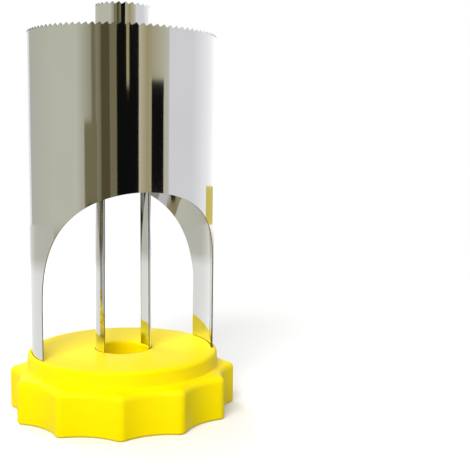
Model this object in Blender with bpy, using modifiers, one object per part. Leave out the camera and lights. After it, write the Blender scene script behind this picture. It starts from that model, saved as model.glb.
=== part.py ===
"""Pineapple slicer: two saw-toothed steel tubes on a lobed plastic twist handle.

Lengths are in metres. The handle stands on the plane Z = 0, centred on the Z axis.
The legs of both tubes stand on the X axis, and their arches open along the Y axis.
"""

import math
from collections import namedtuple

import bmesh
import bpy

# Outer cutting tube, rolled from thin sheet
OUTER_RIM_RADIUS = 0.0416
OUTER_FOOT_RADIUS = 0.0411
OUTER_STANDING_HEIGHT = 0.1410
OUTER_SHEET = 0.0005
OUTER_TOOTH_COUNT = 90
OUTER_TOOTH_DEPTH = 0.0012
OUTER_LEG_WIDTH = 0.0284
OUTER_ARCH_SPRING = 0.0247
OUTER_ARCH_APEX = 0.0737
OUTER_FOOT_REACH = 0.0105

# Inner coring tube, rolled from the same sheet
INNER_RIM_RADIUS = 0.0120
INNER_FOOT_RADIUS = 0.0128
INNER_STANDING_HEIGHT = 0.1540
INNER_SHEET = 0.0005
INNER_TOOTH_COUNT = 26
INNER_TOOTH_DEPTH = 0.0011
INNER_LEG_WIDTH = 0.0154
INNER_ARCH_SPRING = 0.1200
INNER_ARCH_APEX = 0.1395
INNER_FOOT_REACH = 0.0080

# Lapped seam and folded feet of both tubes
LAP_WIDTH = 0.0040
LAP_JOG = 0.0012
LAP_GAP = 0.00006
FOLD_RADIUS = 0.0010
FOOT_LEVEL = 0.0060

# Handle: the lobed grip with a raised disc round the tubes
HANDLE_HEIGHT = 0.0268
DISC_HEIGHT = 0.0072
DISC_MARGIN = 0.0022
DISC_EDGE_RADIUS = 0.0019
DISC_DRAFT = 0.0002
DISC_FOOT_FILLET = 0.0005
LOBE_COUNT = 12
SCALLOP_LEDGE = 0.0034
LOBE_DEPTH = 0.0044
LOBE_TIP_RADIUS = 0.0034
GRIP_TOP_RADIUS = 0.0028
GRIP_TOP_SLOPE = 0.0005
GRIP_BOTTOM_RADIUS = 0.0012
BORE_STEP = 0.0013
BORE_MOUTH_FILLET = 0.0018
DECK_THICKNESS = 0.0030
DISC_WALL = 0.0024
GRIP_WALL = 0.0043
SLEEVE_WALL = 0.0037
RIB_THICKNESS = 0.0018
RIB_DEPTH = 0.0100
POCKET_WALL = 0.0019
POCKET_FOOT_CLEARANCE = 0.0020

# Base cover, let into the underside of the grip
COVER_THICKNESS = 0.0022
COVER_RECESS = 0.0006
COVER_LEDGE = 0.0015
COVER_COLLAR_WALL = 0.0025
COVER_EDGE_RADIUS = 0.0005

# Self-tapping screws: pan heads hold the feet, countersunk heads hold the cover
SCREW_RADIUS = 0.00145
SCREW_POINT = 0.0015
FOOT_SCREW_LENGTH = 0.0095
FOOT_SCREW_HEAD_RADIUS = 0.0026
FOOT_SCREW_HEAD_HEIGHT = 0.0014
COVER_SCREW_LENGTH = 0.0120
COVER_SCREW_HEAD_RADIUS = 0.0028
COVER_SCREW_HEAD_HEIGHT = 0.0014
COVER_SCREW_COUNT = 4
SCREW_BOSS_WALL = 0.0016
PILOT_SPARE = 0.0010

# Fits and modelling allowances
SEAT_GAP = 0.0003
CUT_OVERRUN = 0.0010
JOIN_OVERLAP = 0.0005
MERGE_DISTANCE = 0.00001

# Proportions and facet counts
TOOTH_RISE_SHARES = (0.0, 1.0, 0.5)
FOOT_SCREW_ANGLE_SHARE = 0.45
FOOT_SCREW_REACH_SHARE = 0.55
ARCH_SPRING_COLUMN_SHARES = (0.86, 0.91, 0.95, 0.978, 0.994)
COLUMN_SPACING_SHARE = 0.22
ROUNDING_SHARE = 0.000001
TIP_ROUND_SHARE = 0.9
SCALLOP_STEPS = 3
LOBE_TIP_STEPS = 2
ROUND_STEPS = 3
FOLD_STEPS = 3
TURNED_STEPS = 64
SCREW_STEPS = 12
SMOOTH_ANGLE = math.radians(32)

# Heights and radii that follow from the sizes above
DECK_UNDERSIDE = HANDLE_HEIGHT - DECK_THICKNESS
DISC_FOOT = HANDLE_HEIGHT - DISC_HEIGHT
DISC_RADIUS = OUTER_FOOT_RADIUS + DISC_MARGIN
SCALLOP_REACH = DISC_RADIUS + SCALLOP_LEDGE
LOBE_REACH = SCALLOP_REACH + LOBE_DEPTH
GRIP_TOP_ROUND = min(
    GRIP_TOP_RADIUS, SCALLOP_LEDGE - DISC_FOOT_FILLET, LOBE_TIP_RADIUS * TIP_ROUND_SHARE
)
BORE_RADIUS = INNER_FOOT_RADIUS - BORE_STEP
SLEEVE_RADIUS = BORE_RADIUS + SLEEVE_WALL
DISC_CAVITY_RADIUS = DISC_RADIUS - DISC_WALL
GRIP_CAVITY_RADIUS = SCALLOP_REACH - GRIP_WALL
COVER_SEAT_RADIUS = GRIP_CAVITY_RADIUS + COVER_LEDGE
COVER_TOP = COVER_RECESS + COVER_THICKNESS
COVER_SEAT = COVER_TOP + SEAT_GAP
PAD_LEVEL = FOOT_LEVEL + max(OUTER_SHEET, INNER_SHEET) + SEAT_GAP
SLEEVE_FOOT = PAD_LEVEL + FOLD_RADIUS
BOSS_RADIUS = SCREW_RADIUS + SEAT_GAP + SCREW_BOSS_WALL
COVER_SCREW_CIRCLE = (SLEEVE_RADIUS + DISC_CAVITY_RADIUS) / 2

Tube = namedtuple(
    "Tube",
    "rim_radius foot_radius rim_height sheet teeth tooth_depth leg_half_angle"
    " arch_spring arch_apex fold_side foot_reach",
)
OUTER_TUBE = Tube(
    rim_radius=OUTER_RIM_RADIUS,
    foot_radius=OUTER_FOOT_RADIUS,
    rim_height=HANDLE_HEIGHT + OUTER_STANDING_HEIGHT,
    sheet=OUTER_SHEET,
    teeth=OUTER_TOOTH_COUNT,
    tooth_depth=OUTER_TOOTH_DEPTH,
    leg_half_angle=OUTER_LEG_WIDTH / OUTER_RIM_RADIUS / 2,
    arch_spring=HANDLE_HEIGHT + OUTER_ARCH_SPRING,
    arch_apex=HANDLE_HEIGHT + OUTER_ARCH_APEX,
    fold_side=-1,
    foot_reach=OUTER_FOOT_REACH,
)
INNER_TUBE = Tube(
    rim_radius=INNER_RIM_RADIUS,
    foot_radius=INNER_FOOT_RADIUS,
    rim_height=HANDLE_HEIGHT + INNER_STANDING_HEIGHT,
    sheet=INNER_SHEET,
    teeth=INNER_TOOTH_COUNT,
    tooth_depth=INNER_TOOTH_DEPTH,
    leg_half_angle=INNER_LEG_WIDTH / INNER_FOOT_RADIUS / 2,
    arch_spring=HANDLE_HEIGHT + INNER_ARCH_SPRING,
    arch_apex=HANDLE_HEIGHT + INNER_ARCH_APEX,
    fold_side=1,
    foot_reach=INNER_FOOT_REACH,
)


def clear_scene():
    for obj in list(bpy.data.objects):
        bpy.data.objects.remove(obj)
    for collection in list(bpy.data.collections):
        bpy.data.collections.remove(collection)


def make_collection(name, hidden=False):
    collection = bpy.data.collections.new(name)
    bpy.context.scene.collection.children.link(collection)
    collection.hide_render = hidden
    return collection


def make_material(name, colour, metallic, roughness):
    material = bpy.data.materials.new(name)
    material.use_nodes = True
    shader = material.node_tree.nodes["Principled BSDF"]
    shader.inputs["Base Color"].default_value = (*colour, 1)
    shader.inputs["Metallic"].default_value = metallic
    shader.inputs["Roughness"].default_value = roughness
    return material


def add_object(name, mesh_data, collection, material=None):
    """Turns bmesh data into an object of the collection. One without a material is a helper shape."""
    mesh = bpy.data.meshes.new(name)
    mesh_data.to_mesh(mesh)
    mesh_data.free()
    obj = bpy.data.objects.new(name, mesh)
    collection.objects.link(obj)
    if material:
        mesh.materials.append(material)
        mesh.shade_smooth()
        mesh.set_sharp_from_angle(angle=SMOOTH_ANGLE)
    else:
        obj.hide_render = True
        obj.display_type = "WIRE"
    return obj


def turned(name, profile, steps, collection, material=None):
    """A turned shape. The profile of (radius, height) runs down its outer side, and closes if it must."""
    data = bmesh.new()
    points = [data.verts.new((radius, 0, height)) for radius, height in profile]
    for first, second in zip(points, points[1:]):
        data.edges.new((first, second))
    if profile[0][0] > 0:
        data.edges.new((points[-1], points[0]))
    obj = add_object(name, data, collection, material)
    screw = obj.modifiers.new("Turn", "SCREW")
    screw.steps = screw.render_steps = steps
    screw.use_merge_vertices = True
    screw.merge_threshold = MERGE_DISTANCE
    screw.use_smooth_shade = material is not None
    return obj


def prism(name, outline, low, high, collection):
    """A helper shape with a flat outline, standing between two heights."""
    data = bmesh.new()
    base = data.faces.new([data.verts.new((x, y, low)) for x, y in outline])
    raised = bmesh.ops.extrude_face_region(data, geom=[base])
    lift = [item for item in raised["geom"] if isinstance(item, bmesh.types.BMVert)]
    bmesh.ops.translate(data, verts=lift, vec=(0, 0, high - low))
    bmesh.ops.recalc_face_normals(data, faces=data.faces)
    return add_object(name, data, collection)


def post(name, radius, low, high, x, y, collection):
    """A helper cylinder, standing at a place in plan."""
    data = bmesh.new()
    bmesh.ops.create_cone(
        data,
        cap_ends=True,
        segments=SCREW_STEPS,
        radius1=radius,
        radius2=radius,
        depth=high - low,
    )
    bmesh.ops.translate(data, verts=data.verts, vec=(x, y, (low + high) / 2))
    return add_object(name, data, collection)


def arc_band(inner, outer, centre, half_angle):
    """The outline of a curved slot or wall, between two radii and about a direction in plan."""
    count = max(4, math.ceil(TURNED_STEPS * half_angle / math.pi))
    angles = [centre - half_angle + 2 * half_angle * i / count for i in range(count + 1)]
    out = [(outer * math.cos(a), outer * math.sin(a)) for a in angles]
    back = [(inner * math.cos(a), inner * math.sin(a)) for a in reversed(angles)]
    return out + back


def cut_or_join(obj, name, operation, helpers):
    modifier = obj.modifiers.new(name, "BOOLEAN")
    modifier.operation = operation
    modifier.solver = "EXACT"
    if isinstance(helpers, bpy.types.Collection):
        modifier.operand_type = "COLLECTION"
        modifier.collection = helpers
    else:
        modifier.object = helpers


def rounding(radius, steps=ROUND_STEPS):
    """Points of a quarter round as (distance in from the side, distance down from the top)."""
    turns = [math.pi / 2 * i / steps for i in range(steps + 1)]
    return [(radius * (1 - math.cos(t)), radius * (1 - math.sin(t))) for t in turns]


def leg_distance(angle):
    """The angle to the nearer leg's middle, from zero to a quarter turn."""
    return abs((angle + math.pi / 2) % math.pi - math.pi / 2)


def tooth_drop(tube, angle):
    """How far the sawtooth rim lies below its tips at an angle: a steep drop, then a gentle rise."""
    place = (angle / (2 * math.pi) * tube.teeth) % 1 * len(TOOTH_RISE_SHARES)
    index = int(place)
    here = TOOTH_RISE_SHARES[index]
    after = TOOTH_RISE_SHARES[(index + 1) % len(TOOTH_RISE_SHARES)]
    return tube.tooth_depth * (here + (after - here) * (place - index))


def radius_at(tube, height):
    """The tube's outer radius: even inside the handle, then an even taper up to the rim."""
    share = max(0, (height - HANDLE_HEIGHT) / (tube.rim_height - HANDLE_HEIGHT))
    return tube.foot_radius + (tube.rim_radius - tube.foot_radius) * share


def blank_columns(tube, start, end):
    """The angles at which the rolled blank has a line of points: its edges, teeth and arches."""
    step = 2 * math.pi / (tube.teeth * len(TOOTH_RISE_SHARES))
    lap = LAP_WIDTH / tube.rim_radius
    jog = LAP_JOG / tube.rim_radius
    columns = [start, end - lap - jog, end - lap, end]
    for leg in (math.pi, 2 * math.pi):
        columns += [leg - tube.leg_half_angle, leg + tube.leg_half_angle]
    wanted = [step * i for i in range(math.ceil(end / step))]
    half_arch = math.pi / 2 - tube.leg_half_angle
    for arch in (math.pi / 2, 3 * math.pi / 2, 5 * math.pi / 2):
        for share in ARCH_SPRING_COLUMN_SHARES:
            wanted += [arch - half_arch * share, arch + half_arch * share]
    for angle in wanted:
        nearest = min(abs(angle - column) for column in columns)
        if start < angle < end and nearest > step * COLUMN_SPACING_SHARE:
            columns.append(angle)
    return sorted(columns)


def column_points(tube, angle):
    """One line of the blank from its lowest point up, as (radius, height)."""
    rim = tube.rim_height - tooth_drop(tube, angle)
    from_arch = math.pi / 2 - leg_distance(angle)
    share = min(1, from_arch / (math.pi / 2 - tube.leg_half_angle))
    arch = tube.arch_spring + (tube.arch_apex - tube.arch_spring) * math.sqrt(1 - share**2)
    points = [(radius_at(tube, arch), arch), (radius_at(tube, rim), rim)]
    if share < 1 - ROUNDING_SHARE:
        return points
    fold = FOLD_RADIUS + (tube.sheet if tube.fold_side < 0 else 0)
    surface = FOOT_LEVEL + (tube.sheet if tube.fold_side > 0 else 0)
    foot = [(tube.foot_radius + tube.fold_side * tube.foot_reach, surface)]
    for inward, down in reversed(rounding(fold, FOLD_STEPS)):
        foot.append((tube.foot_radius + tube.fold_side * inward, surface + down))
    foot.append((tube.foot_radius, HANDLE_HEIGHT))
    return foot + points


def join_columns(data, left, right):
    """Faces between two neighbouring lines of points, from the rim down to the shorter one's end."""
    shared = min(len(left), len(right))
    left, right = left[-shared:], right[-shared:]
    for i in range(shared - 1):
        data.faces.new((left[i], right[i], right[i + 1], left[i + 1]))


def rolled_tube(name, tube, collection, material):
    """A saw-toothed blank with two arches, rolled into a lapped tube with its feet folded flat."""
    lap = LAP_WIDTH / tube.rim_radius
    jog = LAP_JOG / tube.rim_radius
    start = math.pi / 2 - lap / 2
    end = math.pi / 2 + 2 * math.pi + lap / 2
    data = bmesh.new()
    lines = []
    for angle in blank_columns(tube, start, end):
        inset = min(1, max(0, (angle - (end - lap - jog)) / jog)) * (tube.sheet + LAP_GAP)
        line = []
        for radius, height in column_points(tube, angle):
            reach = radius - inset
            line.append(data.verts.new((reach * math.cos(angle), reach * math.sin(angle), height)))
        lines.append(line)
    for left, right in zip(lines, lines[1:]):
        join_columns(data, left, right)
    obj = add_object(name, data, collection, material)
    wall = obj.modifiers.new("Sheet", "SOLIDIFY")
    wall.thickness = tube.sheet
    wall.offset = -1
    wall.use_even_offset = True
    return obj


def lobed_outline(inset):
    """One pitch of the grip's outline, offset inwards: half a scallop, a rounded lobe, half a scallop."""
    half_pitch = math.pi / LOBE_COUNT
    tip_centre = LOBE_REACH - LOBE_TIP_RADIUS
    along = tip_centre * math.cos(half_pitch)
    top = LOBE_TIP_RADIUS**2 - SCALLOP_REACH**2 - tip_centre**2 + 2 * SCALLOP_REACH * along
    scallop = top / (2 * (SCALLOP_REACH - along - LOBE_TIP_RADIUS))
    centre = SCALLOP_REACH + scallop
    across = tip_centre * math.sin(half_pitch)
    sweep = math.atan2(across, centre - along)
    points = []
    for i in range(SCALLOP_STEPS):
        turn = sweep * i / SCALLOP_STEPS
        radius = scallop + inset
        points.append((centre - radius * math.cos(turn), radius * math.sin(turn)))
    spread = sweep + half_pitch
    for i in range(LOBE_TIP_STEPS * 2 + 1):
        turn = half_pitch + spread * (i / LOBE_TIP_STEPS - 1)
        radius = LOBE_TIP_RADIUS - inset
        points.append((along + radius * math.cos(turn), across + radius * math.sin(turn)))
    polar = [(math.hypot(x, y), math.atan2(y, x)) for x, y in points]
    mirrored = [(r, 2 * half_pitch - a) for r, a in reversed(polar[1:SCALLOP_STEPS])]
    return polar + mirrored


def lobed_ring(inset):
    """The grip's whole outline as (radius, angle)."""
    pitch = 2 * math.pi / LOBE_COUNT
    return [(r, a + pitch * lobe) for lobe in range(LOBE_COUNT) for r, a in lobed_outline(inset)]


def handle_rings():
    """The handle's outside and bore as closed rings of (radius, angle) with a height, in order."""
    rings = []
    for inward, down in reversed(rounding(GRIP_BOTTOM_RADIUS)):
        rings.append((lobed_ring(inward), down))
    shoulder = DISC_FOOT - GRIP_TOP_SLOPE
    for inward, down in rounding(GRIP_TOP_ROUND):
        rings.append((lobed_ring(inward), shoulder - down))
    angles = [angle for _, angle in lobed_ring(0)]
    profile = [
        (DISC_RADIUS + DISC_FOOT_FILLET, DISC_FOOT),
        (DISC_RADIUS, DISC_FOOT + DISC_FOOT_FILLET),
    ]
    edge = DISC_RADIUS - DISC_DRAFT
    profile += [(edge - i, HANDLE_HEIGHT - d) for i, d in rounding(DISC_EDGE_RADIUS)]
    mouth = rounding(BORE_MOUTH_FILLET)
    profile += [(BORE_RADIUS + i, HANDLE_HEIGHT - d) for i, d in reversed(mouth)]
    profile.append((BORE_RADIUS, 0))
    rings += [([(radius, angle) for angle in angles], height) for radius, height in profile]
    return rings


def handle_body(name, collection, material):
    """A loft from the lobed grip to the round disc, down the bore and back along the underside."""
    data = bmesh.new()
    loops = []
    for ring, height in handle_rings():
        loops.append([data.verts.new((r * math.cos(a), r * math.sin(a), height)) for r, a in ring])
    for lower, upper in zip(loops, loops[1:] + loops[:1]):
        for i in range(len(lower)):
            after = (i + 1) % len(lower)
            data.faces.new((lower[i], lower[after], upper[after], upper[i]))
    return add_object(name, data, collection, material)


def handle_cavity(collection):
    """The room under the deck, stepped round the sleeve, the disc and the cover's seat."""
    core = BORE_RADIUS - CUT_OVERRUN
    ceiling = DISC_FOOT - GRIP_TOP_SLOPE - DECK_THICKNESS
    profile = [
        (SLEEVE_RADIUS, DECK_UNDERSIDE),
        (DISC_CAVITY_RADIUS, DECK_UNDERSIDE),
        (DISC_CAVITY_RADIUS, ceiling),
        (GRIP_CAVITY_RADIUS, ceiling),
        (GRIP_CAVITY_RADIUS, COVER_SEAT),
        (COVER_SEAT_RADIUS, COVER_SEAT),
        (COVER_SEAT_RADIUS, -CUT_OVERRUN),
        (core, -CUT_OVERRUN),
        (core, SLEEVE_FOOT),
        (SLEEVE_RADIUS, SLEEVE_FOOT),
    ]
    return turned("handle_cavity", profile, TURNED_STEPS, collection)


def foot_screw_places():
    """Where the pan-head screws stand in plan: two in each outer foot, one in each inner foot."""
    outer = OUTER_FOOT_RADIUS - OUTER_FOOT_REACH * FOOT_SCREW_REACH_SHARE
    inner = INNER_FOOT_RADIUS + INNER_FOOT_REACH * FOOT_SCREW_REACH_SHARE
    turn = OUTER_TUBE.leg_half_angle * FOOT_SCREW_ANGLE_SHARE
    polar = []
    for side in (0, math.pi):
        polar += [(outer, side - turn), (outer, side + turn), (inner, side)]
    return [(radius * math.cos(a), radius * math.sin(a)) for radius, a in polar]


def cover_screw_places():
    turns = [2 * math.pi * (i + 1 / 2) / COVER_SCREW_COUNT for i in range(COVER_SCREW_COUNT)]
    return [(COVER_SCREW_CIRCLE * math.cos(a), COVER_SCREW_CIRCLE * math.sin(a)) for a in turns]


def handle_inside(collection):
    """Bosses, ribs and leg pockets that hang from the underside of the deck."""
    top = DECK_UNDERSIDE + JOIN_OVERLAP
    for i, (x, y) in enumerate(foot_screw_places()):
        post(f"foot_boss_{i + 1}", BOSS_RADIUS, PAD_LEVEL, top, x, y, collection)
    for i, (x, y) in enumerate(cover_screw_places()):
        post(f"cover_boss_{i + 1}", BOSS_RADIUS, COVER_SEAT, top, x, y, collection)
        turn = math.atan2(y, x)
        near, far = SLEEVE_RADIUS - JOIN_OVERLAP, GRIP_CAVITY_RADIUS + JOIN_OVERLAP
        side = RIB_THICKNESS / 2
        corners = [(near, -side), (far, -side), (far, side), (near, side)]
        cos, sin = math.cos(turn), math.sin(turn)
        outline = [(u * cos - v * sin, u * sin + v * cos) for u, v in corners]
        prism(f"rib_{i + 1}", outline, DECK_UNDERSIDE - RIB_DEPTH, top, collection)
    inner = OUTER_FOOT_RADIUS - OUTER_SHEET - SEAT_GAP - POCKET_WALL
    outer = GRIP_CAVITY_RADIUS + JOIN_OVERLAP
    half_angle = OUTER_TUBE.leg_half_angle + POCKET_WALL / OUTER_FOOT_RADIUS
    low = FOOT_LEVEL + FOLD_RADIUS + OUTER_SHEET + POCKET_FOOT_CLEARANCE
    for i, centre in enumerate((0, math.pi)):
        outline = arc_band(inner, outer, centre, half_angle)
        prism(f"leg_pocket_{i + 1}", outline, low, top, collection)


def handle_openings(collection):
    """Slots for the outer legs, grooves in the bore for the inner legs, and pilot holes."""
    slot_half = OUTER_TUBE.leg_half_angle + SEAT_GAP / OUTER_FOOT_RADIUS
    groove_half = INNER_TUBE.leg_half_angle + SEAT_GAP / INNER_FOOT_RADIUS
    slot_inner = OUTER_FOOT_RADIUS - OUTER_SHEET - SEAT_GAP
    high = HANDLE_HEIGHT + CUT_OVERRUN
    for i, centre in enumerate((0, math.pi)):
        slot = arc_band(slot_inner, OUTER_FOOT_RADIUS + SEAT_GAP, centre, slot_half)
        prism(f"leg_slot_{i + 1}", slot, PAD_LEVEL, high, collection)
        groove = arc_band(
            BORE_RADIUS - CUT_OVERRUN, INNER_FOOT_RADIUS + SEAT_GAP, centre, groove_half
        )
        prism(f"leg_groove_{i + 1}", groove, PAD_LEVEL - CUT_OVERRUN, high, collection)
    radius = SCREW_RADIUS + SEAT_GAP
    foot_tip = FOOT_LEVEL - SEAT_GAP + FOOT_SCREW_LENGTH + PILOT_SPARE
    for i, (x, y) in enumerate(foot_screw_places()):
        low = PAD_LEVEL - CUT_OVERRUN
        post(f"foot_pilot_{i + 1}", radius, low, foot_tip, x, y, collection)
    cover_tip = COVER_RECESS + COVER_SCREW_LENGTH + PILOT_SPARE
    for i, (x, y) in enumerate(cover_screw_places()):
        low = COVER_SEAT - CUT_OVERRUN
        post(f"cover_pilot_{i + 1}", radius, low, cover_tip, x, y, collection)


def build_handle(parts, helpers, material):
    shell = handle_body("handle_shell", parts, material)
    inside = make_collection("handle_inside", hidden=True)
    openings = make_collection("handle_openings", hidden=True)
    handle_inside(inside)
    handle_openings(openings)
    cut_or_join(shell, "Cavity", "DIFFERENCE", handle_cavity(helpers))
    cut_or_join(shell, "Bosses and ribs", "UNION", inside)
    cut_or_join(shell, "Slots and pilot holes", "DIFFERENCE", openings)


def build_tubes(parts, material):
    """Both tubes, with holes in their feet for the screws."""
    holes = make_collection("foot_holes", hidden=True)
    high = FOOT_LEVEL + max(OUTER_SHEET, INNER_SHEET) + CUT_OVERRUN
    for i, (x, y) in enumerate(foot_screw_places()):
        low = FOOT_LEVEL - CUT_OVERRUN
        post(f"foot_hole_{i + 1}", SCREW_RADIUS + SEAT_GAP, low, high, x, y, holes)
    for name, tube in (("outer_cutting_tube", OUTER_TUBE), ("inner_coring_tube", INNER_TUBE)):
        obj = rolled_tube(name, tube, parts, material)
        cut_or_join(obj, "Screw holes", "DIFFERENCE", holes)


def build_cover(parts, material):
    """A round plate with a collar that carries the bore on, and countersunk holes."""
    rim = COVER_SEAT_RADIUS - SEAT_GAP
    collar_top = FOOT_LEVEL - SEAT_GAP
    collar = BORE_RADIUS + COVER_COLLAR_WALL
    edge = rounding(COVER_EDGE_RADIUS, 1)
    profile = [(BORE_RADIUS, collar_top), (collar, collar_top), (collar, COVER_TOP)]
    profile += [(rim - i, COVER_TOP - d) for i, d in reversed(edge)]
    profile += [(rim - i, COVER_RECESS + d) for i, d in edge]
    profile += [(BORE_RADIUS + i, COVER_RECESS + d) for i, d in reversed(edge)]
    cover = turned("base_cover", profile, TURNED_STEPS, parts, material)
    holes = make_collection("cover_holes", hidden=True)
    for i, (x, y) in enumerate(cover_screw_places()):
        wide, narrow = COVER_SCREW_HEAD_RADIUS + SEAT_GAP, SCREW_RADIUS + SEAT_GAP
        seat = COVER_RECESS + COVER_SCREW_HEAD_HEIGHT
        profile = [
            (0, COVER_TOP + CUT_OVERRUN),
            (narrow, COVER_TOP + CUT_OVERRUN),
            (narrow, seat),
            (wide, COVER_RECESS),
            (wide, COVER_RECESS - CUT_OVERRUN),
            (0, COVER_RECESS - CUT_OVERRUN),
        ]
        hole = turned(f"cover_hole_{i + 1}", profile, SCREW_STEPS, holes)
        hole.location = (x, y, 0)
    cut_or_join(cover, "Screw holes", "DIFFERENCE", holes)


def build_screws(parts, material):
    """Six pan-head screws through the folded feet and four countersunk screws through the cover."""
    head_top = FOOT_LEVEL - SEAT_GAP
    tip = head_top + FOOT_SCREW_LENGTH
    crown = FOOT_SCREW_HEAD_RADIUS - FOOT_SCREW_HEAD_HEIGHT / 2
    pan = [
        (0, tip),
        (SCREW_RADIUS, tip - SCREW_POINT),
        (SCREW_RADIUS, head_top),
        (FOOT_SCREW_HEAD_RADIUS, head_top),
        (FOOT_SCREW_HEAD_RADIUS, head_top - FOOT_SCREW_HEAD_HEIGHT / 2),
        (crown, head_top - FOOT_SCREW_HEAD_HEIGHT),
        (0, head_top - FOOT_SCREW_HEAD_HEIGHT),
    ]
    for i, (x, y) in enumerate(foot_screw_places()):
        screw = turned(f"foot_screw_{i + 1}", pan, SCREW_STEPS, parts, material)
        screw.location = (x, y, 0)
    tip = COVER_RECESS + COVER_SCREW_LENGTH
    countersunk = [
        (0, tip),
        (SCREW_RADIUS, tip - SCREW_POINT),
        (SCREW_RADIUS, COVER_RECESS + COVER_SCREW_HEAD_HEIGHT),
        (COVER_SCREW_HEAD_RADIUS, COVER_RECESS),
        (0, COVER_RECESS),
    ]
    for i, (x, y) in enumerate(cover_screw_places()):
        screw = turned(f"cover_screw_{i + 1}", countersunk, SCREW_STEPS, parts, material)
        screw.location = (x, y, 0)


def main():
    clear_scene()
    parts = make_collection("pineapple_slicer")
    helpers = make_collection("cutters", hidden=True)
    plastic = make_material("yellow_plastic", (1.0, 0.82, 0.0), 0, 0.25)
    polished = make_material("polished_stainless", (0.72, 0.72, 0.71), 1, 0.08)
    zinc = make_material("zinc_plated_steel", (0.6, 0.61, 0.62), 1, 0.35)
    build_handle(parts, helpers, plastic)
    build_tubes(parts, polished)
    build_cover(parts, plastic)
    build_screws(parts, zinc)


main()
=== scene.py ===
"""Studio scene of a pineapple slicer: two rolled saw-toothed steel tubes on a moulded twist grip.

Lengths are in metres. The grip stands on Z = 0, centred on the Z axis, and the legs of both tubes
stand on the X axis.
"""

import math

import bmesh
import bpy
from bpy.props import FloatProperty, FloatVectorProperty, IntProperty, PointerProperty
from bpy.types import Operator, Panel, PropertyGroup
from mathutils import Euler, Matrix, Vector


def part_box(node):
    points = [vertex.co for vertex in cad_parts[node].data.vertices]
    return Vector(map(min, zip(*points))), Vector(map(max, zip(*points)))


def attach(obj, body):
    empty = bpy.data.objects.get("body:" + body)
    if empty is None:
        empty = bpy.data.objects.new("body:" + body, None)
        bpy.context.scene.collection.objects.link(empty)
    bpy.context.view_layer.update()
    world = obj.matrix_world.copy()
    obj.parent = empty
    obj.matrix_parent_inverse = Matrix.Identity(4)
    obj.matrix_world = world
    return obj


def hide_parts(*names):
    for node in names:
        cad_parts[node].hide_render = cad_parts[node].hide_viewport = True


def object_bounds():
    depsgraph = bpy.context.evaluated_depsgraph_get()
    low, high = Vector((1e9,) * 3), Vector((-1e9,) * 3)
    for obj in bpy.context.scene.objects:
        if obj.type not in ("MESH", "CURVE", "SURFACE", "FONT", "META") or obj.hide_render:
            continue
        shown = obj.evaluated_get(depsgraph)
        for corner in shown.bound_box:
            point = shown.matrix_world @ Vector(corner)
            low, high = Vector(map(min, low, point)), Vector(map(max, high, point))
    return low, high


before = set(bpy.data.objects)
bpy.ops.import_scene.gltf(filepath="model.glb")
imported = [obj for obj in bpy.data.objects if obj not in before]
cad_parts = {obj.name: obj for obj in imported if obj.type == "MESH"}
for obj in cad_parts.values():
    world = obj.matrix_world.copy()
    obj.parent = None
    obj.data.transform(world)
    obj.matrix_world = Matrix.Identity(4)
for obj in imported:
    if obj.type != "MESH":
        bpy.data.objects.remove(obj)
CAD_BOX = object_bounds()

bl_info = {
    "name": "Pineapple Slicer",
    "version": (1, 0, 0),
    "blender": (4, 5, 0),
    "location": "View3D > Sidebar > Slicer",
    "description": "Builds a twist-handle pineapple slicer and its studio",
    "category": "Add Mesh",
}

OUTER_LOW, OUTER_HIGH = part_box("outer_cutting_tube")
INNER_LOW, INNER_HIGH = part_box("inner_coring_tube")
GRIP_LOW, GRIP_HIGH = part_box("handle_shell")
COVER_LOW, COVER_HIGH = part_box("base_cover")
FOOT_SCREWS = sorted(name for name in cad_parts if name.startswith("foot_screw"))
COVER_SCREWS = sorted(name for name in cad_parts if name.startswith("cover_screw"))
SCREW_LOW, SCREW_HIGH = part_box(COVER_SCREWS[0])
MERGE_DISTANCE = 0.000005
SMOOTH_ANGLE = math.radians(35)
ARC_STEP = math.radians(1.5)
FEWEST_ARC_STEPS = 6
WELD_SEGMENTS = 20
COVER_STEPS = 128
HOLE_STEPS = 32
SCREW_STEPS = 40
SCREW_TURN_STEP = math.radians(33)


def length(name, default, description):
    return FloatProperty(
        name=name, description=description, default=default, min=0, unit="LENGTH", precision=5
    )


def angle(name, default, description):
    return FloatProperty(
        name=name, description=description, default=math.radians(default), subtype="ANGLE"
    )


def share(name, default, description):
    return FloatProperty(name=name, description=description, default=default, subtype="FACTOR")


def count(name, default, description):
    return IntProperty(name=name, description=description, default=default, min=1)


def setting(name, default, description):
    return FloatProperty(name=name, description=description, default=default, min=0)


def colour(name, default, description):
    return FloatVectorProperty(
        name=name, description=description, default=default, size=3, subtype="COLOR", min=0, max=1
    )


def position(name, default, description):
    return FloatVectorProperty(
        name=name, description=description, default=default, size=3, unit="LENGTH", precision=5
    )


class CuttingTubeSizes(PropertyGroup):
    """Sizes of the outer tube, which cuts the fruit free of its skin"""

    rim_radius: length("Rim radius", OUTER_HIGH.x, "Outside radius at the teeth")
    foot_radius: length("Foot radius", 0.0411, "Outside radius where the legs enter the grip")
    rim_height: length("Rim height", OUTER_HIGH.z, "Height of the tooth tips")
    foot_level: length("Foot level", OUTER_LOW.z, "Height of the folded feet's underside")
    sheet: length("Sheet", 0.0005, "Thickness of the steel sheet")
    teeth: count("Teeth", 90, "Saw teeth round the rim")
    tooth_depth: length("Tooth depth", 0.0012, "Depth of a saw tooth")
    leg_half_angle: angle("Leg half angle", 19.557, "Half the angle that a leg takes up")
    arch_spring: length("Arch spring", 0.0515, "Height at which the arches leave the legs")
    arch_apex: length("Arch apex", 0.1005, "Height of the arches' tops")
    foot_reach: length("Foot reach", 0.0105, "How far a folded foot reaches from the sheet")
    columns_per_tooth: count("Columns per tooth", 9, "Lines of points for each tooth")


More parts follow.
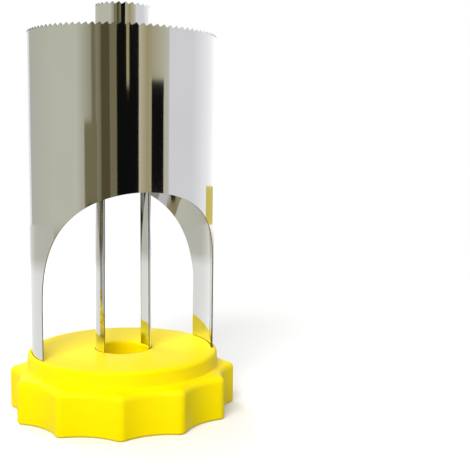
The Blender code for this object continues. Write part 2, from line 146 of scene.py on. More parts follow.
class CoringTubeSizes(PropertyGroup):
    """Sizes of the inner tube, which cuts out the core"""

    rim_radius: length("Rim radius", 0.0120, "Outside radius at the teeth")
    foot_radius: length("Foot radius", 0.0128, "Outside radius where the legs enter the grip")
    rim_height: length("Rim height", INNER_HIGH.z, "Height of the tooth tips")
    foot_level: length("Foot level", INNER_LOW.z, "Height of the folded feet's underside")
    sheet: length("Sheet", 0.0005, "Thickness of the steel sheet")
    teeth: count("Teeth", 26, "Saw teeth round the rim")
    tooth_depth: length("Tooth depth", 0.0011, "Depth of a saw tooth")
    leg_half_angle: angle("Leg half angle", 34.467, "Half the angle that a leg takes up")
    arch_spring: length("Arch spring", 0.1468, "Height at which the windows leave the legs")
    arch_apex: length("Arch apex", 0.1663, "Height of the windows' tops")
    foot_reach: length("Foot reach", 0.0080, "How far a folded foot reaches from the sheet")
    columns_per_tooth: count("Columns per tooth", 15, "Lines of points for each tooth")


class SeamSizes(PropertyGroup):
    """Sizes of the lapped seams and of their spot welds"""

    lap: length("Lap width", 0.0040, "Width over which the sheet lies double")
    jog: length("Lap jog", 0.0012, "Width in which the inner layer steps in")
    gap: length("Lap gap", 0.00006, "Gap between the two layers")
    fold: length("Fold radius", 0.0010, "Inside radius of the feet's fold")
    wave: length("Waviness", 0.00006, "How far the rolled sheet strays from a true tube")
    wave_length: length("Wave length", 0.030, "Width of one dent of the sheet")
    welds: count("Spot welds", 7, "Spot welds along the outer tube's seam")
    weld_radius: length("Weld radius", 0.0008, "Radius of a weld mark")
    weld_height: length("Weld height", 0.00007, "How far a weld mark stands out")
    weld_margin: length("Weld margin", 0.0065, "From the seam's ends to the first and last weld")


class GripSizes(PropertyGroup):
    """Sizes of the moulded grip"""

    deck_height: length("Deck height", GRIP_HIGH.z, "Height of the flat top")
    disc_radius: length("Disc radius", 0.0433, "Radius of the raised disc")
    disc_height: length("Disc height", 0.0072, "Height of the disc above the lobes")
    disc_edge: length("Disc edge", 0.0019, "Rounding of the disc's top edge")
    disc_draft: length("Disc draft", 0.0002, "How far the disc's side leans in")
    disc_fillet: length("Disc fillet", 0.0005, "Fillet where the disc meets the lobes")
    lobes: count("Lobes", 12, "Lobes round the grip")
    scallop_reach: length("Scallop reach", 0.04668, "From the axis to a scallop's middle")
    lobe_depth: length("Lobe depth", 0.0044, "How far a lobe stands out past a scallop")
    tip_radius: length("Lobe tip radius", 0.0034, "Rounding of a lobe's ridge")
    top_round: length("Top rounding", 0.0028, "Rounding of the lobes' top edge")
    top_slope: length("Top slope", 0.0005, "Fall of the lobes' top towards their edge")
    bottom_round: length("Bottom rounding", 0.0012, "Rounding of the bottom edge")
    bore_radius: length("Bore radius", 0.0115, "Radius of the core's way out")
    bore_mouth: length("Bore mouth", 0.0018, "Rounding of the bore's mouth")
    sleeve_wall: length("Sleeve wall", 0.0037, "Wall round the bore")
    sleeve_foot: length("Sleeve foot", 0.0078, "Height of the sleeve's lower end")
    deck_thickness: length("Deck thickness", 0.0030, "Thickness of the top")
    disc_wall: length("Disc wall", 0.0024, "Thickness of the disc's side")
    grip_wall: length("Grip wall", 0.0043, "Thickness of the lobed wall behind a scallop")
    cover_ledge: length("Cover ledge", 0.0015, "Width of the step that the cover seats on")
    clearance: length("Clearance", 0.0003, "Gap between pieces that touch")
    scallop_steps: count("Scallop steps", 9, "Points along half a scallop")
    tip_steps: count("Tip steps", 5, "Points along half a lobe's ridge")
    round_steps: count("Rounding steps", 7, "Rings along a rounded edge")


class CoverSizes(PropertyGroup):
    """Sizes of the base cover and of its screws"""

    bottom: length("Underside", COVER_LOW.z, "Height of the cover's underside")
    collar_top: length("Collar top", COVER_HIGH.z, "Height of the collar's upper end")
    radius: length("Radius", COVER_HIGH.x, "Radius of the cover")
    plate: length("Plate", 0.0022, "Thickness of the plate")
    collar_wall: length("Collar wall", 0.0025, "Wall of the collar round the bore")
    edge: length("Edge", 0.0005, "Rounding of the edges")
    screw_circle: length("Screw circle", 0.02805, "From the axis to a screw")
    head_radius: length("Head radius", 0.0028, "Radius of a screw's head")
    head_height: length("Head height", 0.0014, "Height of a screw's countersunk head")
    shank_radius: length("Shank radius", 0.00145, "Radius of a screw's shank")
    point: length("Point", 0.0015, "Length of a screw's point")
    slot_length: length("Cross length", 0.0032, "Length of the cross in a screw's head")
    slot_width: length("Cross width", 0.0006, "Width of the cross in a screw's head")
    slot_depth: length("Cross depth", 0.0009, "Depth of the cross in a screw's head")


class FinishLooks(PropertyGroup):
    """Colours and finish of the materials"""

    steel: colour("Steel", (0.78, 0.775, 0.76), "Colour of the polished sheet")
    steel_roughness: share("Steel roughness", 0.05, "Roughness of the polished sheet")
    edge_dark: colour("Edge, dark", (0.07, 0.065, 0.06), "Colour of the sheared edges' torn part")
    edge_pale: colour("Edge, pale", (0.40, 0.39, 0.37), "Colour of the sheared edges' bright part")
    weld: colour("Weld", (0.42, 0.36, 0.30), "Colour of the heat-marked welds")
    plastic: colour("Plastic", (1.0, 0.80, 0.0), "Colour of the moulded grip")
    plastic_deep: colour("Plastic in depth", (0.98, 0.73, 0.0), "Darker tint of the flow marks")
    plastic_roughness: share("Plastic roughness", 0.40, "Roughness of the moulded grip")
    zinc: colour("Zinc", (0.60, 0.61, 0.62), "Colour of the plated screws")


class StudioSettings(PropertyGroup):
    """Camera, floor, lamps and the panels that the steel reflects"""

    camera_place: position("Camera place", (-0.08636, -0.35960, 0.11851), "Where the camera stands")
    camera_turn: FloatVectorProperty(
        name="Camera turn", description="The camera's rotation", size=3, subtype="EULER",
        default=(math.radians(83.925), math.radians(-0.710), math.radians(-21.338)),
    )
    lens: setting("Lens", 61.94, "Focal length in millimetres on a 36 mm sensor")
    floor_reach: length("Floor reach", 4.0, "From the axis to the floor's edges")
    floor_colour: colour("Floor", (0.94, 0.94, 0.93), "Colour of the floor")
    floor_bounce: colour("Floor bounce", (0.38, 0.38, 0.37), "Colour that the floor throws back")
    floor_lift: share("Floor lift", 0.12, "Share of plain white in what the camera sees of the floor")
    light_pool: length("Light pool", 0.42, "Reach of the brightly lit floor")
    ambient: setting("Ambient", 0.50, "Strength of the light from all round")
    key_power: setting("Key", 17.0, "Power of the main lamp in watts")
    key_place: position("Key place", (-0.62, -0.88, 0.90), "Where the main lamp hangs")
    lamp_size: length("Lamp size", 0.70, "Side of each lamp")
    back_power: setting("Back lamp", 9.0, "Power of the lamp behind the slicer in watts")
    back_place: position("Back place", (-0.25, 0.95, 0.98), "Where the back lamp hangs")
    wall: colour("Studio wall", (0.60, 0.595, 0.53), "What the steel reflects past the panels")
    panel_distance: length("Panel distance", 0.9, "From the axis to the panels")
    apron_height: length("Apron height", 0.20, "Cards as high as this go on along the floor")
    apron_end: length("Apron end", 0.055, "From the axis to the inner end of the aprons")
    apron_middle: length("Apron middle", 0.62, "From the axis to an apron's darkest line")
    apron_shade: share("Apron shade", 0.55, "Share of a card's colour that is left on that line")
    apron_tint: share("Apron tint", 0.30, "Share of a card's colour in the near end of its apron")
    apron_start: angle("Apron start", -95, "Cards to the right of this have an apron")


class Field:
    """A value in a node tree that adds, multiplies and compares as a number does."""

    def __init__(self, tree, socket):
        self.tree = tree
        self.socket = socket

    def math(self, operation, *others):
        node = self.tree.nodes.new("ShaderNodeMath")
        node.operation = operation
        for place, value in enumerate((self, *others)):
            if isinstance(value, Field):
                self.tree.links.new(value.socket, node.inputs[place])
            else:
                node.inputs[place].default_value = value
        return Field(self.tree, node.outputs[0])

    def __add__(self, other):
        return self.math("ADD", other)

    def __sub__(self, other):
        return self.math("SUBTRACT", other)

    def __mul__(self, other):
        return self.math("MULTIPLY", other)

    def __truediv__(self, other):
        return self.math("DIVIDE", other)

    def clamped(self, low=0, high=1):
        return self.math("MAXIMUM", low).math("MINIMUM", high)

    def wrapped(self, low, high):
        return self.math("WRAP", high, low)

    def over(self, other):
        return self.math("GREATER_THAN", other)

    def under(self, other):
        return self.math("LESS_THAN", other)


def add_node(tree, kind, inputs=(), **settings):
    """A node with its settings made and its inputs linked or set, each by name or place."""
    node = tree.nodes.new(kind)
    for name, value in settings.items():
        setattr(node, name, value)
    for name, value in dict(inputs).items():
        if isinstance(value, Field):
            value = value.socket
        if isinstance(value, bpy.types.NodeSocket):
            tree.links.new(value, node.inputs[name])
        else:
            node.inputs[name].default_value = value
    return node


def new_tree(name, inputs):
    """A node tree for geometry with float inputs, a material input and one geometry output."""
    tree = bpy.data.node_groups.new(name, "GeometryNodeTree")
    for label in inputs:
        tree.interface.new_socket(label, in_out="INPUT", socket_type="NodeSocketFloat")
    tree.interface.new_socket("Finish", in_out="INPUT", socket_type="NodeSocketMaterial")
    tree.interface.new_socket("Geometry", in_out="OUTPUT", socket_type="NodeSocketGeometry")
    given = tree.nodes.new("NodeGroupInput").outputs
    return tree, {label: Field(tree, given[label]) for label in (*inputs, "Finish")}


def end_tree(tree, geometry, material):
    """Closes a tree: instances are made real, shaded smooth and given their material."""
    real = add_node(tree, "GeometryNodeRealizeInstances", {"Geometry": geometry})
    smooth = add_node(tree, "GeometryNodeSetShadeSmooth", {"Geometry": real.outputs[0]})
    done = add_node(tree, "GeometryNodeSetMaterial", {
        "Geometry": smooth.outputs[0], "Material": material,
    })
    add_node(tree, "NodeGroupOutput", {"Geometry": done.outputs[0]})


def grown(name, tree, values):
    """An object whose shape is the tree's, with the named inputs set."""
    obj = bpy.data.objects.new(name, bpy.data.meshes.new(name))
    bpy.context.scene.collection.objects.link(obj)
    modifier = obj.modifiers.new("Shape", "NODES")
    modifier.node_group = tree
    for item in tree.interface.items_tree:
        if item.in_out == "INPUT":
            modifier[item.identifier] = values[item.name]
    return obj


def labelled(*groups):
    """The groups' sizes by their labels, as the trees' inputs name them."""
    return {
        group.bl_rna.properties[key].name: float(getattr(group, key))
        for group in groups
        for key in group.__annotations__
    }


def vector(tree, x=0.0, y=0.0, z=0.0):
    return add_node(tree, "ShaderNodeCombineXYZ", {"X": x, "Y": y, "Z": z}).outputs[0]


def settled(obj, material=None):
    """Turns the evaluated object into a plain mesh with its place in the mesh."""
    bpy.context.view_layer.update()
    graph = bpy.context.evaluated_depsgraph_get()
    mesh = bpy.data.meshes.new_from_object(obj.evaluated_get(graph))
    mesh.transform(obj.matrix_world)
    obj.modifiers.clear()
    obj.data = mesh
    obj.location = (0, 0, 0)
    obj.rotation_euler = (0, 0, 0)
    if material:
        mesh.materials.clear()
        mesh.materials.append(material)
    mesh.shade_smooth()
    mesh.set_sharp_from_angle(angle=SMOOTH_ANGLE)
    return obj


def hand_over(obj, slot, *nodes):
    """The finished piece rides on the part's one body and stands for its solids."""
    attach(obj, "root")
    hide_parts(*nodes)


TUBE_INPUTS = (
    "Rim radius", "Foot radius", "Rim height", "Deck height", "Foot level", "Sheet", "Fold side",
    "Foot reach", "Fold radius", "Teeth", "Tooth depth", "Columns per tooth", "Leg half angle",
    "Arch spring", "Arch apex", "Lap width", "Lap jog", "Lap gap", "Waviness", "Wave length",
)
FOLD_ROWS = 6
LEG_ROWS = 8
BAND_ROWS = 30


def tube_tree():
    """A blank with saw teeth, arches and legs, rolled into a lapped tube: one surface, no thickness.

    A flat grid is the unrolled blank. Its columns fall on the tooth tips and on the legs' edges, and
    its rows run from the folded feet up the legs, and from the arches up to the teeth.
    """
    tree, given = new_tree("Rolled saw-toothed tube", TUBE_INPUTS)
    (
        rim_radius, foot_radius, rim, deck, level, sheet, side, reach, fold, teeth, tooth_depth,
        per_tooth, half_leg, spring, apex, lap, jog, gap, wave, wave_length,
    ) = [given[name] for name in TUBE_INPUTS]

    quarter, full = math.pi / 2, 2 * math.pi
    half_lap = lap / rim_radius * 0.5
    start = half_lap * -1 + quarter
    end = half_lap + quarter + full
    step = (teeth * per_tooth).math("POWER", -1) * full
    first = (start / step).math("FLOOR")
    last = (end / step).math("CEIL")
    columns = last - first
    rows = FOLD_ROWS + 1 + LEG_ROWS + BAND_ROWS

    grid = add_node(tree, "GeometryNodeMeshGrid", {
        "Size X": 1, "Size Y": 1, "Vertices X": columns + 1, "Vertices Y": rows + 1,
    })
    place = add_node(tree, "GeometryNodeInputPosition").outputs[0]
    flat = add_node(tree, "ShaderNodeSeparateXYZ", {"Vector": place})
    column = (Field(tree, flat.outputs[0]) + 0.5) * columns
    row = (Field(tree, flat.outputs[1]) + 0.5) * rows

    turn = ((column + first) * step).math("MAXIMUM", start).math("MINIMUM", end)
    from_leg = turn.wrapped(-quarter, quarter)
    to_edge = half_leg - from_leg.math("ABSOLUTE")
    snapped = to_edge.math("ABSOLUTE").under(step * 0.5)
    turn = turn + snapped * to_edge * from_leg.math("SIGN")
    from_leg = turn.wrapped(-quarter, quarter).math("ABSOLUTE")

    across = ((from_leg * -1 + quarter) / (half_leg * -1 + quarter)).clamped()
    arch = spring + (apex - spring) * (across * across * -1 + 1).math("SQRT")
    pitch = (turn * teeth / full).math("FRACT") * 3
    drop = tooth_depth * pitch.math("MINIMUM", (pitch * -1 + 3) * 0.5)
    fold_turn = ((row - 1) / FOLD_ROWS).clamped() * quarter
    surface = level + sheet * side.over(0)
    bend = fold + sheet * side.under(0)
    up_leg = ((row - (FOLD_ROWS + 1)) / LEG_ROWS).clamped()
    up_band = ((row - (FOLD_ROWS + 1 + LEG_ROWS)) / BAND_ROWS).clamped()
    height = surface + bend * (fold_turn.math("COSINE") * -1 + 1)
    height = height + (arch - surface - bend) * up_leg
    height = height + (rim - drop - arch) * up_band

    taper = ((height - deck) / (rim - deck)).clamped()
    radius = foot_radius + (rim_radius - foot_radius) * taper
    radius = radius + side * bend * (fold_turn.math("SINE") * -1 + 1)
    radius = radius + side * (reach - bend) * (row * -1 + 1).clamped()
    lap_start = end - (lap + jog) / rim_radius
    inset = ((turn - lap_start) / (jog / rim_radius)).clamped() * (sheet + gap)
    x, y = turn.math("COSINE"), turn.math("SINE")
    noise = add_node(tree, "ShaderNodeTexNoise", {
        "Vector": vector(tree, x * rim_radius, y * rim_radius, height),
        "Scale": wave_length.math("POWER", -1),
        "Detail": 0.0,
    })
    dent = (Field(tree, noise.outputs[0]) - 1) * wave * ((height - deck) / reach).clamped()
    radius = radius - inset + dent

    above = row.under(FOLD_ROWS + 1 + LEG_ROWS) * from_leg.over(half_leg)
    blank = add_node(
        tree, "GeometryNodeDeleteGeometry", {"Geometry": grid.outputs[0], "Selection": above},
        domain="FACE",
    )
    moved = add_node(tree, "GeometryNodeSetPosition", {
        "Geometry": blank.outputs[0], "Position": vector(tree, radius * x, radius * y, height),
    })
    end_tree(tree, moved.outputs[0], given["Finish"])
    return tree


def rolled_tube(name, sizes, fold_side):
    """A tube of real sheet: the rolled surface is given its thickness inwards.

    The fold side is -1 where the feet fold towards the axis and 1 where they fold away from it.
    """
    scene = bpy.context.scene
    steel = finish("polished_sheet", steel_material)
    tree = bpy.data.node_groups.get("Rolled saw-toothed tube") or tube_tree()
    values = labelled(sizes, scene.slicer_seam, scene.slicer_grip)
    obj = grown(name, tree, {**values, "Fold side": float(fold_side), "Finish": steel})
    settled(obj, steel)
    obj.data.materials.append(finish("cut_sheet_edge", edge_material))
    wall = obj.modifiers.new("Sheet", "SOLIDIFY")
    wall.thickness = sizes.sheet
    wall.offset = -1
    wall.use_even_offset = True
    wall.material_offset_rim = 1
    return settled(obj)


def weld_tree():
    """A row of flat round marks, one below the other on the seam's outside."""
    names = ("Count", "Low", "High", "Low radius", "High radius", "Mark radius", "Mark height")
    tree, given = new_tree("Spot welds", names)
    number, low, high, low_radius, high_radius, radius, height = [given[name] for name in names]
    line = add_node(tree, "GeometryNodeMeshLine", {"Count": number})
    index = Field(tree, add_node(tree, "GeometryNodeInputIndex").outputs[0])
    up = index / (number - 1)
    outward = low_radius + (high_radius - low_radius) * up
    row = add_node(tree, "GeometryNodeSetPosition", {
        "Geometry": line.outputs[0],
        "Position": vector(tree, y=outward, z=low + (high - low) * up),
    })
    ball = add_node(tree, "GeometryNodeMeshUVSphere", {
        "Segments": WELD_SEGMENTS, "Rings": WELD_SEGMENTS // 2, "Radius": 1,
    })
    marks = add_node(tree, "GeometryNodeInstanceOnPoints", {
        "Points": row.outputs[0],
        "Instance": ball.outputs[0],
        "Scale": vector(tree, radius, height, radius),
    })
    end_tree(tree, marks.outputs[0], given["Finish"])
    return tree


# Widths of the patterns in the finishes, in metres, and how far three of them are drawn out upwards.
DRAWN_LINE = 0.0004
LINE_STRETCH = 60
SMEAR = 0.018
SMEAR_STRETCH = 2
SHEAR_MARK = 0.0003
MARK_STRETCH = 6
WELD_SPOT = 0.0005
FLOW_MARK = 0.030
ORANGE_PEEL = 0.0011
SPECK = 0.00025
SPANGLE = 0.0006
# How much each pattern changes the roughness, and the lowest roughness of the dull finishes.
LINE_ROUGHNESS = 0.02
SMEAR_ROUGHNESS = 0.04
FLOW_ROUGHNESS = 0.06
SPECK_ROUGHNESS = 0.05
DULL_SPREAD = 0.2
DULL_ROUGHNESS = 0.25
ZINC_ROUGHNESS = 0.22
# The depth of every relief in metres, and how strongly each one shows.
RELIEF_DEPTH = 0.0001
STEEL_RELIEF = 0.012
EDGE_RELIEF = 0.1
PLASTIC_RELIEF = 0.05
SPECK_RELIEF = 0.3
ZINC_RELIEF = 0.06
# The smears' darker shade, the flow marks' share of their tint, the spangle's brighter shade.
SMEAR_SHADE = 0.93
FLOW_SHARE = 0.35
SPANGLE_SHINE = 1.2
# The plastic's gloss.
PLASTIC_IOR = 1.46
PLASTIC_SPECULAR = 0.06


def new_material(name):
    """A material with its tree, and the object's coordinates."""
    material = bpy.data.materials.new(name)
    material.use_nodes = True
    tree = material.node_tree
    place = add_node(tree, "ShaderNodeTexCoord").outputs["Object"]
    return material, tree, place


def grain(tree, place, scale, detail=2.0, stretch=(1, 1, 1)):
    """Noise from 0 to 1, with its pattern's size as a length in metres along each axis."""
    scaled = add_node(tree, "ShaderNodeMapping", {
        "Vector": place, "Scale": [1 / (scale * factor) for factor in stretch],
    })
    noise = add_node(tree, "ShaderNodeTexNoise", {
        "Vector": scaled.outputs[0], "Scale": 1.0, "Detail": detail,
    })
    return Field(tree, noise.outputs[0])


def blend_colour(tree, amount, first, second):
    """The first colour where the amount is 0 and the second where it is 1."""
    mix = add_node(tree, "ShaderNodeMix", {0: amount}, data_type="RGBA")
    for place, tint in ((6, first), (7, second)):
        if isinstance(tint, bpy.types.NodeSocket):
            tree.links.new(tint, mix.inputs[place])
        else:
            mix.inputs[place].default_value = (*tint, 1)
    return mix.outputs[2]


def relief(tree, height, strength):
    node = add_node(tree, "ShaderNodeBump", {
        "Height": height, "Distance": RELIEF_DEPTH, "Strength": strength,
    })
    return node.outputs[0]


def set_surface(tree, tint, roughness, metallic, normal=None):
    """Gives the tree's shader its colour, roughness and relief."""
    inputs = tree.nodes["Principled BSDF"].inputs
    inputs["Metallic"].default_value = metallic
    tree.links.new(tint, inputs["Base Color"])
    tree.links.new(roughness.socket, inputs["Roughness"])
    if normal:
        tree.links.new(normal, inputs["Normal"])


def steel_material(looks):
    """Mirror-polished sheet: faint drawing lines along the height, soft smears in its gloss."""
    material, tree, place = new_material("polished_sheet")
    lines = grain(tree, place, DRAWN_LINE, detail=3.0, stretch=(1, 1, LINE_STRETCH))
    smears = grain(tree, place, SMEAR, detail=3.0, stretch=(1, 1, SMEAR_STRETCH))
    darker = [value * SMEAR_SHADE for value in looks.steel]
    middle = (SMEAR_ROUGHNESS + LINE_ROUGHNESS) / 2
    rough = smears * SMEAR_ROUGHNESS + lines * LINE_ROUGHNESS + (looks.steel_roughness - middle)
    tint = blend_colour(tree, smears, darker, looks.steel)
    set_surface(tree, tint, rough, 1, relief(tree, lines, STEEL_RELIEF))
    return material


def edge_material(looks):
    """The sheet's cut edge: duller than its faces, with the shears' marks across it."""
    material, tree, place = new_material("cut_sheet_edge")
    marks = grain(tree, place, SHEAR_MARK, detail=3.0, stretch=(1, 1, MARK_STRETCH))
    tint = blend_colour(tree, marks, looks.edge_dark, looks.edge_pale)
    rough = marks * DULL_SPREAD + DULL_ROUGHNESS
    set_surface(tree, tint, rough, 1, relief(tree, marks, EDGE_RELIEF))
    return material


def weld_material(looks):
    """Heat-marked steel of the spot welds."""
    material, tree, place = new_material("spot_weld_steel")
    spots = grain(tree, place, WELD_SPOT)
    tint = blend_colour(tree, spots, looks.weld, looks.steel)
    set_surface(tree, tint, spots * DULL_SPREAD + DULL_ROUGHNESS, 1)
    return material


def plastic_material(looks):
    """Glossy moulded plastic: slow flow marks in its colour, orange peel in its gloss."""
    material, tree, place = new_material("moulded_yellow")
    flow = grain(tree, place, FLOW_MARK, detail=3.0)
    peel = grain(tree, place, ORANGE_PEEL)
    speck = grain(tree, place, SPECK)
    tint = blend_colour(tree, flow * FLOW_SHARE, looks.plastic, looks.plastic_deep)
    middle = (FLOW_ROUGHNESS + SPECK_ROUGHNESS) / 2
    rough = flow * FLOW_ROUGHNESS + speck * SPECK_ROUGHNESS + (looks.plastic_roughness - middle)
    set_surface(tree, tint, rough, 0, relief(tree, peel + speck * SPECK_RELIEF, PLASTIC_RELIEF))
    inputs = tree.nodes["Principled BSDF"].inputs
    inputs["IOR"].default_value = PLASTIC_IOR
    inputs["Specular IOR Level"].default_value = PLASTIC_SPECULAR
    return material


def zinc_material(looks):
    """Bright zinc plating with the fine spangle of barrel-plated screws."""
    material, tree, place = new_material("zinc_plate")
    spangle = grain(tree, place, SPANGLE, detail=4.0)
    pale = [min(1, value * SPANGLE_SHINE) for value in looks.zinc]
    tint = blend_colour(tree, spangle, looks.zinc, pale)
    rough = spangle * DULL_SPREAD + ZINC_ROUGHNESS
    set_surface(tree, tint, rough, 1, relief(tree, spangle, ZINC_RELIEF))
    return material


def finish(name, maker):
    """A material by name, made the first time that it is asked for."""
    return bpy.data.materials.get(name) or maker(bpy.context.scene.slicer_looks)


def rounding(radius, steps):
    """Points of a quarter round as (distance in from the side, distance down from the top)."""
    turns = [math.pi / 2 * i / steps for i in range(steps + 1)]
    return [(radius * (1 - math.cos(t)), radius * (1 - math.sin(t))) for t in turns]


def lobed_ring(sizes, inset):
    """The grip's outline, offset inwards, as (radius, angle): scallops and rounded ridges by turns."""
    half_pitch = math.pi / sizes.lobes
    tip_centre = sizes.scallop_reach + sizes.lobe_depth - sizes.tip_radius
    along = tip_centre * math.cos(half_pitch)
    across = tip_centre * math.sin(half_pitch)
    reach, tip = sizes.scallop_reach, sizes.tip_radius
    top = tip**2 - reach**2 - tip_centre**2 + 2 * reach * along
    scallop = top / (2 * (reach - along - tip))
    centre = reach + scallop
    sweep = math.atan2(across, centre - along)
    pitch = []
    for i in range(sizes.scallop_steps):
        turn = sweep * i / sizes.scallop_steps
        radius = scallop + inset
        pitch.append((centre - radius * math.cos(turn), radius * math.sin(turn)))
    spread = sweep + half_pitch
    for i in range(sizes.tip_steps * 2 + 1):
        turn = half_pitch + spread * (i / sizes.tip_steps - 1)
        radius = tip - inset
        pitch.append((along + radius * math.cos(turn), across + radius * math.sin(turn)))
    polar = [(math.hypot(x, y), math.atan2(y, x)) for x, y in pitch]
    polar += [(r, 2 * half_pitch - a) for r, a in reversed(polar[1 : sizes.scallop_steps])]
    return [(r, a + 2 * half_pitch * lobe) for lobe in range(sizes.lobes) for r, a in polar]


def grip_rings(sizes, cover):
    """The grip as closed rings with a height: up the lobes, over the deck, down the bore, inside."""
    steps = sizes.round_steps
    shoulder = sizes.deck_height - sizes.disc_height
    rings = []
    for inward, down in reversed(rounding(sizes.bottom_round, steps)):
        rings.append((lobed_ring(sizes, inward), down))
    for inward, down in rounding(sizes.top_round, steps):
        rings.append((lobed_ring(sizes, inward), shoulder - sizes.top_slope - down))
    edge = sizes.disc_radius - sizes.disc_draft
    profile = [(sizes.disc_radius + i, shoulder + d) for d, i in rounding(sizes.disc_fillet, steps)]
    profile += [(edge - i, sizes.deck_height - d) for i, d in rounding(sizes.disc_edge, steps)]
    for i, d in reversed(rounding(sizes.bore_mouth, steps)):
        profile.append((sizes.bore_radius + i, sizes.deck_height - d))
    sleeve = sizes.bore_radius + sizes.sleeve_wall
    underside = sizes.deck_height - sizes.deck_thickness
    ceiling = shoulder - sizes.top_slope - sizes.deck_thickness
    cavity = sizes.scallop_reach - sizes.grip_wall
    seat = cover.bottom + cover.plate + sizes.clearance
    profile += [
        (sizes.bore_radius, sizes.sleeve_foot),
        (sleeve, sizes.sleeve_foot),
        (sleeve, underside),
        (sizes.disc_radius - sizes.disc_wall, underside),
        (sizes.disc_radius - sizes.disc_wall, ceiling),
        (cavity, ceiling),
        (cavity, seat),
        (cavity + sizes.cover_ledge, seat),
        (cavity + sizes.cover_ledge, 0),
    ]
    turns = [turn for _, turn in lobed_ring(sizes, 0)]
    return rings + [([(radius, turn) for turn in turns], height) for radius, height in profile]


def shape_object(name, data, material=None):
    """An object of the bmesh's shape, linked to the scene."""
    mesh = bpy.data.meshes.new(name)
    data.to_mesh(mesh)
    data.free()
    obj = bpy.data.objects.new(name, mesh)
    bpy.context.scene.collection.objects.link(obj)
    if material:
        mesh.materials.append(material)
    return obj


def arc_band(name, inner, outer, centre, half_angle, low, high):
    """A curved bar that stands between two radii and two heights, about a direction in plan."""
    steps = max(FEWEST_ARC_STEPS, math.ceil(half_angle / ARC_STEP))
    turns = [centre - half_angle + 2 * half_angle * i / steps for i in range(steps + 1)]
    outline = [(outer, turn) for turn in turns] + [(inner, turn) for turn in reversed(turns)]
    data = bmesh.new()
    base = [data.verts.new((r * math.cos(t), r * math.sin(t), low)) for r, t in outline]
    raised = bmesh.ops.extrude_face_region(data, geom=[data.faces.new(base)])
    lift = [item for item in raised["geom"] if isinstance(item, bmesh.types.BMVert)]
    bmesh.ops.translate(data, verts=lift, vec=(0, 0, high - low))
    bmesh.ops.recalc_face_normals(data, faces=data.faces)
    return shape_object(name, data)


def clean(mesh, split):
    """Takes out the points, edges and faces without size that a cut leaves behind.

    Split also makes triangles of the faces with many sides. It suits a flat plate, but on the grip
    it would draw a crease across the disc.
    """
    data = bmesh.new()
    data.from_mesh(mesh)
    bmesh.ops.remove_doubles(data, verts=data.verts, dist=MERGE_DISTANCE)
    bmesh.ops.dissolve_degenerate(data, edges=data.edges, dist=MERGE_DISTANCE)
    if split:
        many_sided = [face for face in data.faces if len(face.verts) > 4]
        bmesh.ops.triangulate(data, faces=many_sided, ngon_method="BEAUTY")
        bmesh.ops.dissolve_degenerate(data, edges=data.edges, dist=MERGE_DISTANCE)
    data.to_mesh(mesh)
    data.free()


def cut(obj, cutters, split=False):
    """Takes the cutters' shapes out of the object and removes them."""
    for cutter in cutters:
        modifier = obj.modifiers.new(cutter.name, "BOOLEAN")
        modifier.operation = "DIFFERENCE"
        modifier.solver = "EXACT"
        modifier.object = cutter
    settled(obj)
    clean(obj.data, split)
    for cutter in cutters:
        bpy.data.objects.remove(cutter)


def leg_cutters(sizes, tube, low):
    """Bars that clear a leg's sheet all round, one for each of the tube's two legs."""
    high = sizes.deck_height + sizes.disc_edge
    inner = tube.foot_radius - tube.sheet - sizes.clearance
    outer = tube.foot_radius + sizes.clearance
    half_angle = tube.leg_half_angle + sizes.clearance / tube.foot_radius
    return [
        arc_band(f"leg_slot_{i}", inner, outer, math.pi * i, half_angle, low, high) for i in (0, 1)
    ]


def turned(name, profile, steps, material=None):
    """A turned shape. The profile of (radius, height) runs down its outer side."""
    data = bmesh.new()
    points = [data.verts.new((radius, 0, height)) for radius, height in profile]
    for first, second in zip(points, points[1:]):
        data.edges.new((first, second))
    if profile[0][0] > 0:
        data.edges.new((points[-1], points[0]))
    obj = shape_object(name, data, material)
    screw = obj.modifiers.new("Turn", "SCREW")
    screw.steps = screw.render_steps = steps
    screw.use_merge_vertices = True
    screw.merge_threshold = MERGE_DISTANCE
    return obj


def screw_tree(source):
    """The same screw on each corner of a square, turned by a step each time."""
    tree, given = new_tree("Cover screws", ("Circle", "Turn step"))
    ring = add_node(tree, "GeometryNodeMeshCircle", {
        "Vertices": len(COVER_SCREWS), "Radius": given["Circle"],
    })
    half_pitch = math.pi / len(COVER_SCREWS)
    turned_ring = add_node(tree, "GeometryNodeTransform", {
        "Geometry": ring.outputs[0], "Rotation": (0, 0, half_pitch),
    })
    index = Field(tree, add_node(tree, "GeometryNodeInputIndex").outputs[0])
    model = add_node(tree, "GeometryNodeObjectInfo", {"Object": source})
    copies = add_node(tree, "GeometryNodeInstanceOnPoints", {
        "Points": turned_ring.outputs[0],
        "Instance": model.outputs["Geometry"],
        "Rotation": vector(tree, z=index * given["Turn step"]),
    })
    end_tree(tree, copies.outputs[0], given["Finish"])
    return tree


class SLICER_OT_cutting_tube(Operator):
    """Roll the outer saw-toothed tube"""

    bl_idname = "slicer.cutting_tube"
    bl_label = "Cutting tube"

    def execute(self, context):
        tube = rolled_tube("cutting_tube_sheet", context.scene.slicer_cutting, -1)
        hand_over(tube, "polished_stainless", "outer_cutting_tube")
        return {"FINISHED"}


class SLICER_OT_coring_tube(Operator):
    """Roll the inner saw-toothed tube"""

    bl_idname = "slicer.coring_tube"
    bl_label = "Coring tube"

    def execute(self, context):
        tube = rolled_tube("coring_tube_sheet", context.scene.slicer_coring, 1)
        hand_over(tube, "polished_stainless", "inner_coring_tube")
        return {"FINISHED"}


